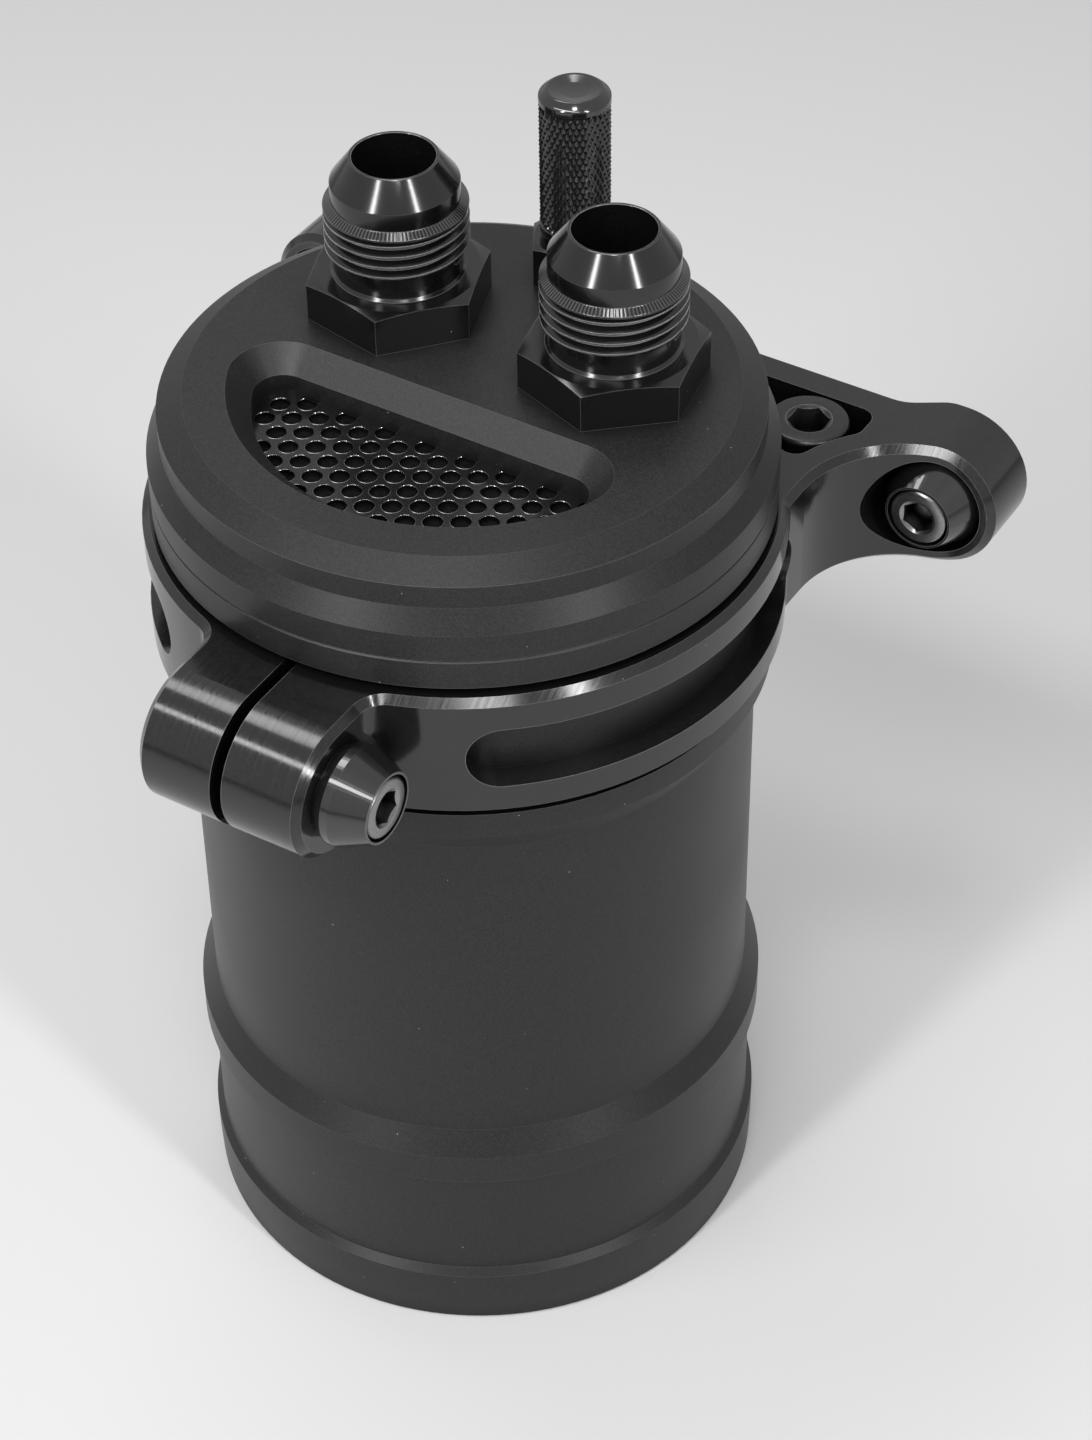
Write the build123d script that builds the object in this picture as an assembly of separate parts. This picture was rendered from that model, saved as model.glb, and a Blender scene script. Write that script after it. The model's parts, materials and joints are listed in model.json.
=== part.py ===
from build123d import *
import os
from math import cos, degrees, radians, sin, sqrt, tan

# Oil catch can with a slotted clamp: lengths in mm, +Z up, the can's axis is Z.
# The flat base is at z = 0, the mounting arms are at +Y and the vent is at -Y.

# Clamp seat, which the rest of the can is built round
tube_r = 45.3
clamp_mid_z = 130.2
clamp_height = 22.2
clamp_wall = 4.25
clamp_gap = 0.05
groove_play = 1.3

# Steps of the turned outline, in from or out from the tube
collar_lip = 2.65
collar_height = 4.45
upper_collar = 4.9
ridge_lip = 2.5
ridge_height = 5.65
cup_step = 1.1
base_band_step = 1.1
foot_step = 0.2
bevel_angle = 30.0
edge_break = 0.25
hex_corner_drop = 0.9
hex_face_step = 0.15

# Cup, from the base up
base_line_z = 6.4
base_band_z = 12.0
cup_top_z = 34.1
cup_floor = 5.0
cup_floor_cove = 3.0
tube_wall = 3.8

# Screwed joints of the can, drawn as plain running fits
thread_gap = 0.05
thread_run_out = 1.0
cup_thread_wall = 2.15
cup_thread_depth = 13.0
lid_thread_wall = 2.1
lid_thread_depth = 14.0
lid_skirt_wall = 4.75
seal_groove_depth = 1.9
seal_groove_width = 2.2
seal_land = 0.6
seal_gap = 0.2

# Lid above its seam
lid_height = 14.5
lid_waist_step = 2.05
lid_flat_step = 4.0
lid_chamfer_drop = 2.45
lid_waist_drop = 6.2

# Vent opening, cut as a rounded D through the lid
vent_margin = 6.5
vent_edge_y = 4.4
vent_corner_r = 8.0
vent_bevel = 3.6
vent_wall = 3.7
vent_ledge = 1.6
mesh_thickness = 1.0
mesh_pitch = 4.1
mesh_hole_r = 1.55
mesh_shift_x = -1.1
mesh_shift_y = -8.95
mesh_rim_gap = 0.1
retainer_thickness = 2.0
retainer_lap = 6.0
retainer_screw_inset = 3.3
retainer_screw_angle = 26.0
retainer_screw_r = 1.25
retainer_screw_head_r = 2.2
retainer_screw_length = 6.0
retainer_socket_r = 0.85

# Flare fittings, size ten
fitting_x = 19.1
fitting_y = 12.3
inlet_turn = 49.0
outlet_turn = 41.0
fitting_thread_r = 11.1
fitting_thread_depth = 1.1
fitting_pitch = 1.814
fitting_thread_turns = 4
fitting_neck_step = 1.2
fitting_hex_height = 6.8
fitting_thread_low = 10.8
fitting_cone_z = 22.2
fitting_bore_r = 6.35
fitting_lip = 0.45
flare_angle = 37.0
fitting_stub = 11.0
fitting_relief = 0.3
fitting_seal_r = 1.2
fitting_seal_gap = 0.25
fitting_land = 0.45

# Dipstick
dipstick_inset = 8.65
bung_thread_r = 5.0
bung_wall = 1.2
bung_land = 0.4
bung_height = 7.0
bung_stub = 12.0
bung_seal_r = 0.5
bung_seal_gap = 0.1
handle_r = 5.5
handle_height = 25.85
handle_lift = 0.15
handle_foot_bevel = 0.9
handle_rim_bevel = 1.0
handle_rim_slope = 0.25
handle_dish_r = 4.1
handle_dish = 0.6
plug_length = 12.0
plug_seal_r = 0.5
plug_seal_gap = 0.05
plug_seal_pitch = 4.0
plug_seal_top = 3.0
rod_r = 2.0
rod_tip_gap = 7.0
rod_low_mark = 8.0
rod_high_mark = 63.0
rod_mark_depth = 0.5

# Baffle hung under the lid
post_y = 6.0
post_r = 4.0
post_shoulder = 1.0
post_depth = 8.5
baffle_drop = 47.5
baffle_thickness = 2.0
baffle_edge_gap = 0.5
baffle_hole_r = 4.0
baffle_rows = ((24.0, 5), (11.0, 11))
baffle_dip_gap = 2.5
nut_wall = 2.0
nut_height = 5.0
nut_run_out = 1.5

# Clamp ring, pinch lug and mounting arms
clamp_chamfer = 1.15
clamp_split = 2.0
lug_reach = 6.7
lug_half_width = 14.15
lug_fillet = 4.0
slot_height = 11.0
slot_front_angle = 32.1
slot_rear_angle = 119.0
slot_reach = 3.4
boss_reach = 7.25
boss_set_back = 3.7
boss_length = 13.3
bar_reach = 5.6
arm_step_reach = 9.6
arm_step_run = 6.5
arm_step_fillet = 6.0
arm_root_inset = 5.6
arm_sweep_r = 18.0
arm_root_fillet = 2.0
arm_wall = 4.8
bar_wall = 5.75
pocket_end_height = 5.0
pocket_outer_inset = 4.3
pocket_fillet = 2.6

# Metric screws and their conical washers
screw_r = 3.0
screw_play = 0.3
screw_head_lip = 2.0
screw_head_bevel = 0.4
screw_hex = 5.0
screw_socket_share = 0.53
screw_point = 0.6
screw_grip_relief = 0.3
screw_neck = 1.0
pinch_screw_length = 30.0
mount_screw_length = 18.0
arm_screw_r = 4.0
arm_screw_head_lip = 2.5
arm_screw_hex = 6.0
arm_screw_length = 12.0
arm_screw_inset_x = 13.0
arm_screw_inset_y = 6.8
cone_cup_gap = 0.25
cone_rim = 0.35
cone_flange = 3.0
cone_foot_step = 0.8
cone_floor = 2.05
cone_wide_from = 1.7
cone_wide_to = 2.9
washer_play = 0.8
washer_stand_out = 4.1

# Radii that follow
collar_r = tube_r + collar_lip
ridge_r = tube_r + ridge_lip
cup_r = tube_r + cup_step
base_band_r = cup_r + base_band_step
foot_r = base_band_r - foot_step
bore_r = tube_r - tube_wall
clamp_r = tube_r + clamp_gap + clamp_wall
cup_thread_r = cup_r - cup_thread_wall
lid_thread_r = tube_r - lid_thread_wall
lid_skirt_r = lid_thread_r - thread_gap - lid_skirt_wall
lid_waist_r = collar_r - lid_waist_step
lid_flat_r = lid_waist_r - lid_flat_step
vent_r = lid_flat_r - vent_margin
fitting_root_r = fitting_thread_r - fitting_thread_depth
fitting_neck_r = fitting_thread_r - fitting_neck_step
fitting_lip_r = fitting_bore_r + fitting_lip
fitting_relief_r = fitting_neck_r - fitting_relief
fitting_seat_r = fitting_relief_r + 2 * fitting_seal_r + fitting_seal_gap
fitting_seat_depth = 2 * fitting_seal_r + fitting_seal_gap
fitting_hex = 2 * (fitting_seat_r + fitting_land)
bung_bore_r = bung_thread_r - bung_wall
bung_seat_r = bung_thread_r + 2 * bung_seal_r + bung_seal_gap
bung_seat_depth = 2 * bung_seal_r + bung_seal_gap
bung_hex = 2 * (bung_seat_r + bung_land)
plug_r = bung_bore_r - thread_gap
plug_groove_r = plug_r - 2 * plug_seal_r - 2 * plug_seal_gap
post_foot_r = post_r - post_shoulder
baffle_r = bore_r - baffle_edge_gap
baffle_dip_hole_r = rod_r + baffle_dip_gap
nut_hex = 2 * (post_foot_r + nut_wall)
lug_r = clamp_height / 2
screw_hole_r = screw_r + screw_play
screw_head_r = screw_r + screw_head_lip
screw_head_height = 2 * screw_r
arm_screw_head_r = arm_screw_r + arm_screw_head_lip
cone_cup_r = screw_head_r + cone_cup_gap
cone_top_r = cone_cup_r + cone_rim
cone_wide_r = screw_head_r + cone_flange
cone_low_r = cone_wide_r - cone_foot_step
cone_height = screw_head_height + cone_floor
washer_seat_r = cone_wide_r + washer_play

# Places that follow
ridge_low_z = cup_top_z + ridge_r - cup_r
ridge_high_z = ridge_low_z + ridge_height
clamp_low_z = clamp_mid_z - clamp_height / 2
clamp_high_z = clamp_mid_z + clamp_height / 2
groove_low_z = clamp_low_z - groove_play
groove_high_z = clamp_high_z + groove_play
lid_seam_z = groove_high_z + upper_collar
lid_top_z = lid_seam_z + lid_height
mesh_top_z = lid_top_z - vent_bevel - vent_wall
retainer_top_z = lid_seam_z
dipstick_y = bore_r - dipstick_inset
baffle_z = lid_seam_z - baffle_drop
post_top_z = lid_seam_z + post_depth
handle_low_z = lid_top_z + bung_height + handle_lift
handle_high_z = handle_low_z + handle_height
plug_low_z = handle_low_z - plug_length
rod_tip_z = cup_floor + rod_tip_gap
lug_y = -clamp_r - lug_reach
arm_boss_x = clamp_r + boss_reach
arm_front_y = clamp_r - boss_set_back
arm_back_y = arm_front_y + boss_length
arm_bar_y = clamp_r + bar_reach
arm_root_x = clamp_r - arm_root_inset
arm_sweep_x = arm_root_x + arm_sweep_r
arm_sweep_y = arm_front_y - arm_sweep_r
arm_screw_x = clamp_r - arm_screw_inset_x
arm_screw_y = clamp_r - arm_screw_inset_y
washer_depth = cone_height - washer_stand_out
mount_seat_y = arm_front_y + washer_depth
mount_grip = arm_back_y - mount_seat_y + cone_floor
slope = tan(radians(bevel_angle))
BASE = (Align.CENTER, Align.CENTER, Align.MIN)


def turned(points):
    """A solid of revolution about Z from its half outline of (radius, height) points."""
    outline = make_face(Polyline(*[(r, 0, z) for r, z in points], close=True))
    return revolve(outline, Axis.Z)


def ring_seal(ring_r, section_r, z):
    """An O-ring about the Z axis."""
    return Pos(0, 0, z) * Torus(ring_r, section_r)


def hexagon(across_flats, height):
    """A hexagonal prism with its corners lightly turned off at the top."""
    corner_r = across_flats / sqrt(3)
    prism = extrude(RegularPolygon(corner_r, 6), height)
    crown = turned([
        (0, 0),
        (corner_r + hex_corner_drop, 0),
        (corner_r + hex_corner_drop, height - hex_corner_drop),
        (across_flats / 2 - hex_face_step, height),
        (0, height),
    ])
    return prism & crown


def upright_slab(outline, low_z, high_z):
    """A flat outline raised between two heights."""
    return extrude(Pos(0, 0, low_z) * outline, high_z - low_z)


def make_cup():
    """Screw-off reservoir cup that the can stands on."""
    body = turned([
        (0, 0),
        (foot_r - 2 * edge_break, 0),
        (foot_r, 2 * edge_break),
        (base_band_r, base_line_z),
        (base_band_r, base_band_z - (base_band_r - cup_r)),
        (cup_r, base_band_z + edge_break),
        (cup_r, cup_top_z - edge_break),
        (cup_r - edge_break, cup_top_z),
        (cup_thread_r, cup_top_z),
        (cup_thread_r, cup_top_z - cup_thread_depth),
        (bore_r, cup_top_z - cup_thread_depth - (cup_thread_r - bore_r) * slope),
        (bore_r, cup_floor + cup_floor_cove),
        (bore_r - cup_floor_cove, cup_floor),
        (0, cup_floor),
    ])
    return body


def make_canister():
    """Bored tube with the clamp groove, its two collars and the lower ridge."""
    spigot_r = cup_thread_r - thread_gap
    spigot_low_z = cup_top_z - cup_thread_depth + thread_run_out
    seal_floor_r = spigot_r - seal_groove_depth
    return turned([
        (lid_thread_r, lid_seam_z),
        (collar_r - edge_break, lid_seam_z),
        (collar_r, lid_seam_z - edge_break),
        (collar_r, groove_high_z),
        (tube_r, groove_high_z),
        (tube_r, groove_low_z),
        (collar_r, groove_low_z),
        (collar_r, groove_low_z - collar_height),
        (tube_r, groove_low_z - collar_height - (collar_r - tube_r) / slope),
        (tube_r, ridge_high_z + (ridge_r - tube_r) / slope),
        (ridge_r, ridge_high_z),
        (ridge_r, ridge_low_z),
        (cup_r, cup_top_z + edge_break),
        (cup_r - edge_break, cup_top_z),
        (spigot_r, cup_top_z),
        (spigot_r, cup_top_z - seal_land),
        (seal_floor_r, cup_top_z - seal_land),
        (seal_floor_r, cup_top_z - seal_land - seal_groove_width),
        (spigot_r, cup_top_z - seal_land - seal_groove_width),
        (spigot_r, spigot_low_z + screw_point),
        (spigot_r - screw_point, spigot_low_z),
        (bore_r, spigot_low_z),
        (bore_r, lid_seam_z - lid_thread_depth - (lid_thread_r - bore_r) * slope),
        (lid_thread_r, lid_seam_z - lid_thread_depth),
    ])


def joint_seal(thread_r, seam_z):
    """O-ring in the groove just below a screwed joint's seam."""
    section_r = (seal_groove_depth + thread_gap) / 2 - seal_gap
    groove_mid_z = seam_z - seal_land - seal_groove_width / 2
    return ring_seal(thread_r - seal_gap - section_r, section_r, groove_mid_z)


def vent_outline(inset):
    """The vent's rounded D, moved in from its top edge by inset."""
    outer_r = vent_r - inset
    edge_y = vent_edge_y + inset
    half = Pos(0, -edge_y - outer_r) * Rectangle(4 * outer_r, 2 * outer_r)
    shape = Circle(outer_r) & half
    return fillet(shape.vertices(), vent_corner_r - inset)


def vent_cut():
    """The bevelled opening, its wall and the seat for the mesh, as one cutter."""
    top = Pos(0, 0, lid_top_z) * vent_outline(0)
    throat_z = lid_top_z - vent_bevel
    throat = Pos(0, 0, throat_z) * vent_outline(vent_bevel)
    bevel = loft([throat, top], ruled=True)
    wall = upright_slab(vent_outline(vent_bevel), mesh_top_z, throat_z)
    seat = upright_slab(vent_outline(vent_bevel - vent_ledge), lid_seam_z, mesh_top_z)
    return bevel + wall + seat


def retainer_screw_places():
    """Four screw places on a line between the vent's seat and the retainer's rim."""
    line_r = vent_r - vent_bevel + retainer_screw_inset
    line_y = vent_edge_y + vent_bevel - retainer_screw_inset
    back_x = line_r - retainer_lap - vent_corner_r / 2
    front_x = line_r * sin(radians(retainer_screw_angle))
    front_y = line_r * cos(radians(retainer_screw_angle))
    return [
        (-back_x, -line_y),
        (back_x, -line_y),
        (-front_x, -front_y),
        (front_x, -front_y),
    ]


def make_lid():
    """Screw-on lid with the vent, two fitting ports, the dipstick port and its thread."""
    spigot_r = lid_thread_r - thread_gap
    seal_floor_r = spigot_r - seal_groove_depth
    spigot_low_z = lid_seam_z - lid_thread_depth + thread_run_out
    flare_z = lid_top_z - lid_waist_drop
    body = turned([
        (0, lid_top_z),
        (lid_flat_r, lid_top_z),
        (lid_waist_r, lid_top_z - lid_chamfer_drop),
        (lid_waist_r, flare_z),
        (collar_r, flare_z - (collar_r - lid_waist_r) / slope),
        (collar_r, lid_seam_z + edge_break),
        (collar_r - edge_break, lid_seam_z),
        (spigot_r, lid_seam_z),
        (spigot_r, lid_seam_z - seal_land),
        (seal_floor_r, lid_seam_z - seal_land),
        (seal_floor_r, lid_seam_z - seal_land - seal_groove_width),
        (spigot_r, lid_seam_z - seal_land - seal_groove_width),
        (spigot_r, spigot_low_z + screw_point),
        (spigot_r - screw_point, spigot_low_z),
        (lid_skirt_r, spigot_low_z),
        (lid_skirt_r, lid_seam_z),
        (0, lid_seam_z),
    ])
    body -= vent_cut()
    for side in (-1, 1):
        port = Pos(side * fitting_x, fitting_y, lid_seam_z)
        body -= port * Cylinder(fitting_thread_r, lid_top_z - lid_seam_z, align=BASE)
        seat = Pos(side * fitting_x, fitting_y, lid_top_z - fitting_seat_depth)
        body -= seat * Cylinder(fitting_seat_r, fitting_seat_depth, align=BASE)
    dip_port = Pos(0, dipstick_y, lid_seam_z)
    body -= dip_port * Cylinder(bung_thread_r, lid_top_z - lid_seam_z, align=BASE)
    dip_seat = Pos(0, dipstick_y, lid_top_z - bung_seat_depth)
    body -= dip_seat * Cylinder(bung_seat_r, bung_seat_depth, align=BASE)
    body -= Pos(0, post_y, lid_seam_z) * Cylinder(post_r, post_depth, align=BASE)
    for x, y in retainer_screw_places():
        body -= Pos(x, y, lid_seam_z) * Cylinder(
            retainer_screw_r, retainer_screw_length, align=BASE
        )
    return body


def make_mesh():
    """Perforated plate with round holes on a triangular pitch."""
    low_z = mesh_top_z - mesh_thickness
    plate = upright_slab(vent_outline(vent_bevel - vent_ledge + mesh_rim_gap), low_z, mesh_top_z)
    column = mesh_pitch * cos(radians(30))
    columns = int(vent_r / column) + 1
    rows = int(vent_r / mesh_pitch) + 1
    holes = []
    for i in range(-columns, columns + 1):
        for j in range(-rows, 2):
            x = mesh_shift_x + i * column
            y = mesh_shift_y + (j + 0.5 * (i % 2)) * mesh_pitch
            reach = sqrt(x**2 + y**2) + 0.2 * mesh_hole_r
            inside_arc = reach < vent_r - vent_bevel
            inside_edge = y < -vent_edge_y - vent_bevel
            if inside_arc and inside_edge:
                holes.append(Pos(x, y) * Circle(mesh_hole_r))
    pattern = Sketch(children=holes)
    return plate - upright_slab(pattern, low_z, mesh_top_z)


def make_filter_pad():
    """Foam pad behind the mesh."""
    outline = vent_outline(vent_bevel - vent_ledge + mesh_rim_gap)
    return upright_slab(outline, retainer_top_z, mesh_top_z - mesh_thickness)


def make_retainer():
    """Frame that holds the pad and the mesh up in the lid."""
    low_z = retainer_top_z - retainer_thickness
    outline = vent_outline(vent_bevel - retainer_lap)
    frame = upright_slab(outline, low_z, retainer_top_z)
    frame -= upright_slab(vent_outline(vent_bevel), low_z, retainer_top_z)
    for x, y in retainer_screw_places():
        frame -= Pos(x, y, low_z) * screw_countersunk(retainer_screw_r)
    return frame


def screw_countersunk(shank_r):
    """A countersunk screw, head down at z = 0 and pointing up."""
    head_height = retainer_screw_head_r - shank_r
    return turned([
        (0, 0),
        (retainer_screw_head_r, 0),
        (shank_r, head_height),
        (shank_r, retainer_thickness + retainer_screw_length),
        (0, retainer_thickness + retainer_screw_length),
    ])


def make_retainer_screws():
    """Four countersunk screws with hexagon sockets."""
    screw = screw_countersunk(retainer_screw_r)
    screw -= extrude(RegularPolygon(retainer_socket_r, 6), retainer_screw_head_r / 2)
    low_z = retainer_top_z - retainer_thickness
    return Compound([Pos(x, y, low_z) * screw for x, y in retainer_screw_places()])


def make_fitting():
    """Male flare fitting with a hexagon, standing on the lid's face at z = 0."""
    cone_rise = (fitting_neck_r - fitting_lip_r) / tan(radians(flare_angle))
    lip_z = fitting_cone_z + cone_rise
    teeth = []
    for turn in range(fitting_thread_turns):
        foot_z = fitting_thread_low + turn * fitting_pitch
        teeth += [
            (fitting_root_r, foot_z),
            (fitting_thread_r, foot_z + 0.40 * fitting_pitch),
            (fitting_thread_r, foot_z + 0.60 * fitting_pitch),
        ]
    thread_top_z = fitting_thread_low + fitting_thread_turns * fitting_pitch
    stub_r = fitting_thread_r - thread_gap
    relief_low_z = -fitting_seat_depth - fitting_relief
    neck = turned(
        [(0, -fitting_stub), (stub_r - fitting_relief, -fitting_stub)]
        + [(stub_r, fitting_relief - fitting_stub), (stub_r, relief_low_z)]
        + [(fitting_relief_r, relief_low_z), (fitting_relief_r, 0)]
        + [(fitting_neck_r, 0), (fitting_neck_r, fitting_thread_low)]
        + teeth
        + [(fitting_root_r, thread_top_z), (fitting_thread_r, thread_top_z + 0.2)]
        + [(fitting_neck_r, thread_top_z + 0.2 + fitting_thread_r - fitting_neck_r)]
        + [(fitting_neck_r, fitting_cone_z), (fitting_lip_r, lip_z), (0, lip_z)]
    )
    body = neck + hexagon(fitting_hex, fitting_hex_height)
    bore_length = fitting_stub + lip_z
    return body - Pos(0, 0, -fitting_stub) * Cylinder(fitting_bore_r, bore_length, align=BASE)


def make_fitting_seal():
    """O-ring that closes the port under a fitting's hexagon."""
    ring_r = fitting_relief_r + fitting_seal_r + fitting_seal_gap / 2
    return ring_seal(ring_r, fitting_seal_r, -fitting_seat_depth / 2)


def fitting_place(side):
    """Where a fitting stands; each hexagon is turned as it was tightened."""
    turn = inlet_turn if side < 0 else outlet_turn
    return Pos(side * fitting_x, fitting_y, lid_top_z) * Rot(0, 0, turn)


def make_bung():
    """Hexagonal guide that screws into the lid and takes the dipstick's plug."""
    stub_r = bung_thread_r - thread_gap
    body = hexagon(bung_hex, bung_height)
    body += turned([
        (0, -bung_stub),
        (stub_r - screw_point, -bung_stub),
        (stub_r, screw_point - bung_stub),
        (stub_r, 0),
        (0, 0),
    ])
    body -= Pos(0, 0, -bung_stub) * Cylinder(bung_bore_r, bung_stub + bung_height, align=BASE)
    return Pos(0, dipstick_y, lid_top_z) * body


def make_bung_seal():
    """O-ring under the bung's hexagon."""
    ring_r = bung_thread_r + bung_seal_r + bung_seal_gap / 2
    return Pos(0, dipstick_y, lid_top_z) * ring_seal(ring_r, bung_seal_r, -bung_seat_depth / 2)


def plug_groove_heights():
    """Heights of the two O-ring grooves on the dipstick's plug."""
    first_z = handle_low_z - plug_seal_top
    return (first_z, first_z - plug_seal_pitch)


def make_handle():
    """Round grip with a dished top, and the plug below it."""
    half_groove = plug_seal_r + 2 * plug_seal_gap
    outline = [
        (0, plug_low_z),
        (plug_r - screw_point, plug_low_z),
        (plug_r, plug_low_z + screw_point),
    ]
    for z in reversed(plug_groove_heights()):
        outline += [(plug_r, z - half_groove), (plug_groove_r, z - half_groove)]
        outline += [(plug_groove_r, z + half_groove), (plug_r, z + half_groove)]
    outline += [
        (plug_r, handle_low_z),
        (handle_r - handle_foot_bevel, handle_low_z),
        (handle_r, handle_low_z + handle_foot_bevel),
        (handle_r, handle_high_z - handle_rim_bevel),
        (handle_r - handle_rim_slope, handle_high_z - handle_rim_bevel / 2),
        (handle_dish_r + handle_rim_slope, handle_high_z),
        (handle_dish_r, handle_high_z),
        (handle_dish_r / 2, handle_high_z - 0.8 * handle_dish),
        (0, handle_high_z - handle_dish),
    ]
    body = turned(outline)
    body -= Pos(0, 0, plug_low_z) * Cylinder(rod_r, plug_length - rod_r, align=BASE)
    return Pos(0, dipstick_y) * body


def make_rod():
    """Dipstick blade: a round rod with two level marks and a pointed tip."""
    mark = rod_mark_depth
    outline = [(0, rod_tip_z), (rod_r / 2, rod_tip_z), (rod_r, rod_tip_z + rod_r)]
    for z in (rod_tip_z + rod_low_mark, rod_tip_z + rod_high_mark):
        outline += [(rod_r, z - mark), (rod_r - mark, z), (rod_r, z + mark)]
    top_z = plug_low_z + plug_length - rod_r
    outline += [(rod_r, top_z), (0, top_z)]
    return Pos(0, dipstick_y) * turned(outline)


def make_plug_seals():
    """Two O-rings on the dipstick's plug."""
    ring_r = plug_groove_r + plug_seal_r + plug_seal_gap
    rings = [ring_seal(ring_r, plug_seal_r, z) for z in plug_groove_heights()]
    return Compound([Pos(0, dipstick_y) * ring for ring in rings])


def make_post():
    """Shouldered post screwed up into the lid."""
    foot_z = baffle_z - nut_height - nut_run_out
    shoulder_z = baffle_z + baffle_thickness
    return Pos(0, post_y) * turned([
        (0, foot_z),
        (post_foot_r - screw_point, foot_z),
        (post_foot_r, foot_z + screw_point),
        (post_foot_r, shoulder_z),
        (post_r, shoulder_z),
        (post_r, post_top_z - screw_point),
        (post_r - screw_point, post_top_z),
        (0, post_top_z),
    ])


def make_baffle():
    """Perforated plate that the incoming vapour strikes."""
    plate = upright_slab(Circle(baffle_r), baffle_z, baffle_z + baffle_thickness)
    cutter_height = 3 * baffle_thickness
    cutter_z = baffle_z - baffle_thickness
    hole = Cylinder(baffle_hole_r, cutter_height, align=BASE)
    web = baffle_hole_r / 2
    for edge_gap, count in baffle_rows:
        for place in PolarLocations(baffle_r - edge_gap, count, start_angle=-90):
            x, y = place.position.X, place.position.Y
            from_dipstick = sqrt(x**2 + (y - dipstick_y) ** 2)
            near_dipstick = from_dipstick < baffle_hole_r + baffle_dip_hole_r + web
            near_post = sqrt(x**2 + (y - post_y) ** 2) < baffle_hole_r + post_r + web
            if not near_dipstick and not near_post:
                plate -= Pos(x, y, cutter_z) * hole
    plate -= Pos(0, post_y, cutter_z) * Cylinder(post_foot_r, cutter_height, align=BASE)
    plate -= Pos(0, dipstick_y, cutter_z) * Cylinder(
        baffle_dip_hole_r, cutter_height, align=BASE
    )
    return plate


def make_baffle_nut():
    """Nut under the baffle."""
    body = Rot(180, 0, 0) * hexagon(nut_hex, nut_height)
    body -= Cylinder(post_foot_r, 3 * nut_height)
    return Pos(0, post_y, baffle_z) * body


def arm_outline():
    """Plan of the right arm, from the can's middle plane to the end of its boss."""
    low_y = arm_sweep_y / 2
    end_x = arm_boss_x + lug_r
    step_x = arm_boss_x - arm_step_reach
    half = sin(radians(45)) * arm_sweep_r
    edges = [
        Line((0, low_y), (arm_root_x, low_y)),
        Line((arm_root_x, low_y), (arm_root_x, arm_sweep_y)),
        ThreePointArc(
            (arm_root_x, arm_sweep_y),
            (arm_sweep_x - half, arm_sweep_y + half),
            (arm_sweep_x, arm_front_y),
        ),
        Line((arm_sweep_x, arm_front_y), (end_x, arm_front_y)),
        Line((end_x, arm_front_y), (end_x, arm_back_y)),
        Line((end_x, arm_back_y), (step_x + arm_step_run, arm_back_y)),
        Line((step_x + arm_step_run, arm_back_y), (step_x, arm_bar_y)),
        Line((step_x, arm_bar_y), (0, arm_bar_y)),
        Line((0, arm_bar_y), (0, low_y)),
    ]
    shape = make_face(Wire(edges))
    steps = []
    for v in shape.vertices():
        if v.Y > arm_bar_y - 0.1 and step_x - 0.1 < v.X < step_x + arm_step_run + 0.1:
            steps.append(v)
    return fillet(steps, arm_step_fillet)


def clamp_plan():
    """Plan of the ring with its lug and both arms."""
    arm = arm_outline()
    nose_y = lug_y - lug_r
    lug = Pos(0, nose_y / 2) * Rectangle(2 * lug_half_width, -nose_y)
    plan = Circle(clamp_r) + lug + arm + mirror(arm, Plane.YZ)
    inner = []
    for v in plan.vertices():
        on_ring = abs(sqrt(v.X**2 + v.Y**2) - clamp_r) < 0.01
        if on_ring and v.Y < 0:
            inner.append(v)
    plan = fillet(inner, lug_fillet)
    roots = []
    for v in plan.vertices():
        on_ring = abs(sqrt(v.X**2 + v.Y**2) - clamp_r) < 0.01
        if on_ring and v.Y > 0:
            roots.append(v)
    return fillet(roots, arm_root_fillet)


def clamp_blank():
    """The clamp's outside, with its full-round ends and bevelled edges."""
    blank = upright_slab(clamp_plan(), clamp_low_z, clamp_high_z)
    size = 6 * lug_r
    block = Box(size, size, size, align=(Align.CENTER, Align.MAX, Align.CENTER))
    rounding = block - Rot(0, 90, 0) * Cylinder(lug_r, 2 * size)
    blank -= Pos(0, lug_y, clamp_mid_z) * rounding
    blank -= Pos(arm_boss_x, arm_back_y, clamp_mid_z) * Rot(0, 0, 90) * rounding
    blank -= Pos(-arm_boss_x, arm_back_y, clamp_mid_z) * Rot(0, 0, -90) * rounding
    return blank


def rim_edges(blank):
    """Edges of the blank that carry the bevel: all but upright and smooth ones."""
    picked = []
    for edge in blank.edges():
        middle = edge @ 0.5
        along = edge % 0.5
        upright = abs(along.Z) > 0.999
        lug_line = abs(middle.Y - lug_y) < 0.01 and abs(along.X) > 0.999
        boss_line = abs(abs(middle.X) - arm_boss_x) < 0.01 and abs(along.Y) > 0.999
        if not upright and not lug_line and not boss_line:
            picked.append(edge)
    return picked


def slot_cut():
    """One long round-ended slot through the right half of the ring."""
    cap_angle = degrees(slot_height / 2 / clamp_r)
    first = slot_front_angle + cap_angle - 90
    last = slot_rear_angle - cap_angle - 90
    inner_r = tube_r - clamp_wall
    outer_r = clamp_r + slot_reach
    section = Pos((inner_r + outer_r) / 2, 0, clamp_mid_z) * Rot(90, 0, 0)
    section = section * Rectangle(outer_r - inner_r, slot_height)
    cutter = Rot(0, 0, first) * revolve(section, Axis.Z, last - first)
    for angle in (first, last):
        cap = Pos(inner_r, 0, clamp_mid_z) * Rot(0, 90, 0)
        cap = cap * Cylinder(slot_height / 2, outer_r - inner_r, align=BASE)
        cutter += Rot(0, 0, angle) * cap
    return cutter


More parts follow.
